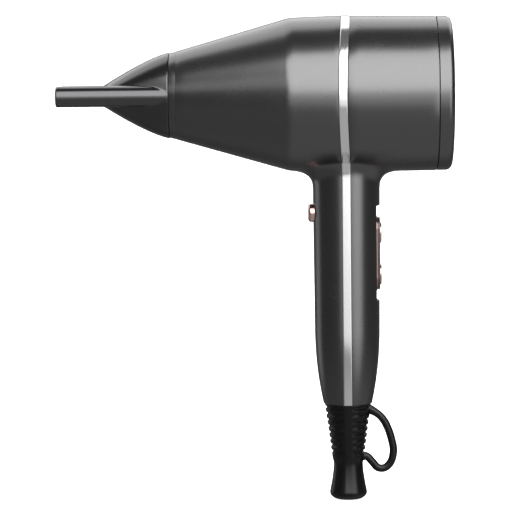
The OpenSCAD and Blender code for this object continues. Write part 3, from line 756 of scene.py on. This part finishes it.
rimShape = {"holeR": 6.45, "edge": 0.2, "thick": 0.45, "steps": 96}
plateShape = {"holeR": 6.45, "edge": 0.3, "steps": 96}
rimTop = [rimLow[0] + rimShape["thick"], rimHigh[1], rimHigh[2]]
plateBase = [rimTop[0], plateLow[1], plateLow[2]]
settle(makePocketPlate("controlRim", rimLow, rimTop, roseGold, rimShape),
       "housing", "rose_gold", "control_rim")
settle(makePocketPlate("controlPlate", plateBase, plateHigh, darkPlate, plateShape),
       "housing", "dark_plate", "control_plate")
print("controls made")


# ---- cord sleeve and hanging loop

sleeve = {
    "topZ": 56.0, "topR": 13.5, "lowRibZ": 25.5, "lowRibR": 9.4, "waistZ": 20.6, "waistR": 8.5,
    "footR": 10.9, "footZ": 4.3, "flatR": 5.2, "ribs": 8, "groove": 0.8, "grooveShare": 0.42,
    "grooveStart": 0.8, "grooveEnd": 0.2, "grooveEase": 0.14, "spineHalf": 2.9, "spineEase": 0.5,
    "around": 180,
}
# The hidden end inside the handle and the cord's bore, as (radius, height)
sleeveInside = [(11.2, 55.98), (11.2, 63), (9.6, 63), (6, 30), (4, 12), (4, 0.5), (4.5, 0)]


def sleeveRadius(z):
    s = sleeve
    if z >= s["lowRibZ"]:
        return mixed(s["lowRibR"], s["topR"], (z - s["lowRibZ"]) / (s["topZ"] - s["lowRibZ"]))
    if z >= s["waistZ"]:
        return mixed(s["waistR"], s["lowRibR"], smooth((z - s["waistZ"]) / (s["lowRibZ"] - s["waistZ"])))
    if z >= s["footZ"]:
        flare = (s["waistZ"] - z) / (s["waistZ"] - s["footZ"])
        return mixed(s["waistR"], s["footR"], flare ** 1.5)
    curve = math.sqrt(max(1 - ((s["footZ"] - z) / s["footZ"]) ** 2, 0))
    return mixed(s["flatR"], s["footR"], curve)


# How deep the skin is cut at a height, from 0 between grooves to 1 in them
def grooveCut(z):
    s = sleeve
    start = s["lowRibZ"] + s["grooveStart"]
    turn = (z - start) * s["ribs"] / (s["topZ"] - s["grooveEnd"] - start)
    if turn < 0 or turn > s["ribs"]:
        return 0
    off = abs(turn % 1 - 0.5)
    return smooth((s["grooveShare"] / 2 - off) / s["grooveEase"] + 0.5)


def makeSleeve():
    s = sleeve
    rows = []
    heights = [s["footZ"] * (1 - math.cos(math.pi / 2 * k / 14)) for k in range(15)]
    heights += [mixed(s["footZ"], s["lowRibZ"], k / 30) for k in range(1, 31)]
    heights += [mixed(s["lowRibZ"], s["topZ"] - 0.3, k / 200) for k in range(1, 201)]
    for z in heights:
        row = []
        for a in turned(s["around"]):
            r = sleeveRadius(z)
            side = abs(r * math.cos(a))
            ribbed = smooth((side - s["spineHalf"]) / s["spineEase"] + 0.5)
            r -= s["groove"] * grooveCut(z) * ribbed
            row.append((r * math.cos(a), r * math.sin(a), z))
        rows.append(row)
    topEdge = [(s["topR"] - 0.1, s["topZ"] - 0.08), (s["topR"] - 0.35, s["topZ"] - 0.02)]
    for r, z in topEdge + sleeveInside:
        rows.append([(r * math.cos(a), r * math.sin(a), z) for a in turned(s["around"])])
    return gridPiece("cordSleeve", rows, mouldedRubber, wrapRows=True, sharp=50)


# Middle line of the loop in the X-Z plane, a smooth run through a few places
loop = {
    "radius": 2.3, "rootRadius": 2.9, "rootSteps": 14,
    "route": [(10.8, 53.2), (16.8, 49.9), (20.6, 46), (23.4, 40.5), (25.4, 34), (26.3, 28),
              (25, 21.8), (21.4, 18), (17.2, 18), (14, 21.4), (10.9, 24.6), (7.4, 24.8)],
}


# A smooth curve through the points, with the same number of steps between each two
def runThrough(points, steps):
    line = []
    for i in range(len(points) - 1):
        a, b = points[max(i - 1, 0)], points[i]
        c, d = points[i + 1], points[min(i + 2, len(points) - 1)]
        for k in range(steps):
            t = k / steps
            line.append(((b * 2) + (c - a) * t + (a * 2 - b * 5 + c * 4 - d) * t * t
                         + (b * 3 - a - c * 3 + d) * t ** 3) / 2)
    line.append(points[-1])
    return line


def makeLoop():
    line = runThrough([Vector((x, 0, z)) for x, z in loop["route"]], 12)
    across = Vector((0, 1, 0))
    rows = []
    for i, p in enumerate(line):
        run = (line[min(i + 1, len(line) - 1)] - line[max(i - 1, 0)]).normalized()
        out = across.cross(run)
        ends = min(i, len(line) - 1 - i) / loop["rootSteps"]
        r = mixed(loop["rootRadius"], loop["radius"], smooth(ends))
        rows.append([p + out * r * math.cos(a) + across * r * math.sin(a) for a in turned(40)])
    return gridPiece("hangingLoop", rows, mouldedRubber)


settle(makeSleeve(), "housing", "black_rubber", "cord_sleeve")
settle(makeLoop(), "housing", "black_rubber", "hanging_loop")
print("sleeve and loop made")


# ---- finishes of the inner pieces

innerFinish = {
    "intake_grille": blackNylon, "outlet_grille": blackNylon, "filter_mesh": wovenSteel,
    "nozzle_ring": mouldedRubber, "heater_tube": micaSheet, "heater_core": micaSheet,
    "heater_coil": oxidisedWire, "thermostat": platedSteel, "thermal_fuse": firedCeramic,
    "ion_generator": blackNylon, "ion_emitter": platedSteel, "fan_housing": blackNylon,
    "motor_ring": mouldedRubber, "motor_can": platedSteel, "field_core": platedSteel,
    "rotor_core": enamelledCopper, "motor_shaft": platedSteel, "front_bearing": sinteredBronze,
    "rear_bearing": sinteredBronze, "impeller": blackNylon, "speed_spring": platedSteel,
    "temperature_spring": platedSteel, "cold_shot_spring": platedSteel,
    "switch_board": circuitBoard, "speed_switch": blackNylon, "temperature_switch": blackNylon,
    "cold_shot_switch": blackNylon, "capacitor": dippedResin, "wire_loom": mouldedRubber,
    "cord_clamp": blackNylon, "clamp_screws": platedSteel, "shell_screw": platedSteel,
}
for node, material in innerFinish.items():
    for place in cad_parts[node].material_slots:
        place.material = material
print("inner pieces finished")


# ---- floor, lights and camera

# A round sweep: flat under the dryer, curving up into a wall all the way round
floor = {"colour": "#f4f4f3", "glow": 0.62, "flatR": 3.0, "round": 1.5, "wall": 5.0, "middleR": 0.001}


def makeFloor():
    line = [(floor["middleR"], 0)]
    line += [(floor["flatR"] + floor["round"] * math.sin(a),
              floor["round"] - floor["round"] * math.cos(a))
             for a in [math.pi / 2 * k / 12 for k in range(13)]]
    line += [(floor["flatR"] + floor["round"], floor["wall"])]
    ways = turned(64)
    verts = [(r * math.cos(a), r * math.sin(a), z) for r, z in line for a in ways]
    count = len(ways)
    faces = [(count * row + k, count * row + (k + 1) % count,
              count * (row + 1) + (k + 1) % count, count * (row + 1) + k)
             for row in range(len(line) - 1) for k in range(count)]
    mesh = bpy.data.meshes.new("studioSweep")
    mesh.from_pydata(verts, [], faces + [tuple(range(count))])
    mesh.shade_smooth()
    material, tree, shader, place = startMaterial(
        "paleSeamlessPaper", {"Roughness": 0.9, "Base Color": hexColour(floor["colour"])})
    shader.inputs["Emission Color"].default_value = hexColour("#ffffff")
    shader.inputs["Emission Strength"].default_value = floor["glow"]
    mesh.materials.append(material)
    sweep = bpy.data.objects.new("studioSweep", mesh)
    bpy.context.scene.collection.objects.link(sweep)
    sweep.visible_glossy = False


def addSoftbox(name, light, aim=(0, 0, 0.2)):
    data = bpy.data.lights.new(name, "AREA")
    data.shape = "RECTANGLE"
    data.size, data.size_y = light["size"]
    data.energy = light["watts"]
    box = bpy.data.objects.new(name, data)
    a, e = math.radians(light["azimuth"]), math.radians(light["elevation"])
    away = Vector((math.sin(a) * math.cos(e), -math.cos(a) * math.cos(e), math.sin(e)))
    box.location = Vector(aim) + away * light["distance"]
    box.rotation_mode = "QUATERNION"
    box.rotation_quaternion = away.to_track_quat("Z", "Y")
    box.visible_camera = False
    bpy.context.scene.collection.objects.link(box)


# The room mirrored in the dryer: dim behind and above, half bright below, less so on the left
room = {"behind": 0.14, "above": 0.14, "below": 0.43, "belowLeft": 0.26}


def makeRoom():
    world = bpy.data.worlds.new("studioRoom")
    bpy.context.scene.world = world
    world.use_nodes = True
    tree = world.node_tree
    way = addNode(tree, "ShaderNodeTexCoord").outputs["Generated"]
    split = addNode(tree, "ShaderNodeSeparateXYZ", {}, {"Vector": way})
    ground = addNode(tree, "ShaderNodeMapRange",
                     {"From Min": -0.4, "From Max": -0.1, "To Min": room["belowLeft"],
                      "To Max": room["below"], "interpolation_type": "SMOOTHSTEP"},
                     {"Value": split.outputs["X"]})
    height = addNode(tree, "ShaderNodeMapRange",
                     {"From Min": -0.5, "From Max": -0.05, "To Max": room["above"],
                      "interpolation_type": "SMOOTHSTEP"},
                     {"Value": split.outputs["Z"], "To Min": ground.outputs["Result"]})
    behind = addNode(tree, "ShaderNodeMapRange",
                     {"From Min": 0.15, "From Max": 0.7, "To Min": 0.0,
                      "To Max": 1.0, "interpolation_type": "SMOOTHSTEP"},
                     {"Value": split.outputs["Y"]})
    blend = addNode(tree, "ShaderNodeMix", {"data_type": "FLOAT"},
                    {"Factor": behind.outputs["Result"], 2: height.outputs["Result"]})
    blend.inputs[3].default_value = room["behind"]
    shade = tree.nodes["Background"]
    tree.links.new(blend.outputs[0], shade.inputs["Color"])


softboxes = {
    "keySoftbox": {
        "azimuth": 17.5, "elevation": 35.5, "distance": 1.3, "size": (2.15, 1.53), "watts": 38},
    "middleSoftbox": {
        "azimuth": 17.5, "elevation": -0.5, "distance": 1.3, "size": (2.15, 0.25), "watts": 2.0},
    "lowSoftbox": {
        "azimuth": 17.5, "elevation": -11, "distance": 1.3, "size": (2.15, 0.23), "watts": 1.15},
    "rightSoftbox": {
        "azimuth": 37, "elevation": -11, "distance": 1.3, "size": (0.6, 0.65), "watts": 1.2},
    "frontSoftbox": {
        "azimuth": -38, "elevation": 19, "distance": 1.3, "size": (0.6, 0.36), "watts": 0.5},
    "rimSoftbox": {
        "azimuth": 198, "elevation": 46, "distance": 1.6, "size": (3.8, 1.42), "watts": 31},
    "leftSoftbox": {
        "azimuth": -122, "elevation": 8, "distance": 1.6, "size": (0.7, 1.6), "watts": 2.2},
}
camera = {
    "aim": (-0.0532, 0, 0.14275), "distance": 1.6, "yaw": 0.7, "elevation": 3.9,
    "frameWidth": 0.2958, "roll": -0.57, "sensorMm": 36,
}


def makeCamera():
    data = bpy.data.cameras.new("camera")
    eye = bpy.data.objects.new("camera", data)
    yaw, rise = math.radians(camera["yaw"]), math.radians(camera["elevation"])
    back = camera["distance"] * Vector(
        (math.sin(yaw) * math.cos(rise), -math.cos(yaw) * math.cos(rise), math.sin(rise)))
    data.sensor_width = camera["sensorMm"]
    data.lens = data.sensor_width * back.length / camera["frameWidth"]
    eye.location = Vector(camera["aim"]) + back
    turn = back.to_track_quat("Z", "Y")
    eye.rotation_mode = "QUATERNION"
    eye.rotation_quaternion = turn @ Quaternion((0, 0, 1), math.radians(camera["roll"]))
    bpy.context.scene.collection.objects.link(eye)
    bpy.context.scene.camera = eye


makeFloor()
makeRoom()
for name, light in softboxes.items():
    addSoftbox(name, light)
makeCamera()
bpy.context.scene.view_settings.view_transform = "Standard"
print("studio set")
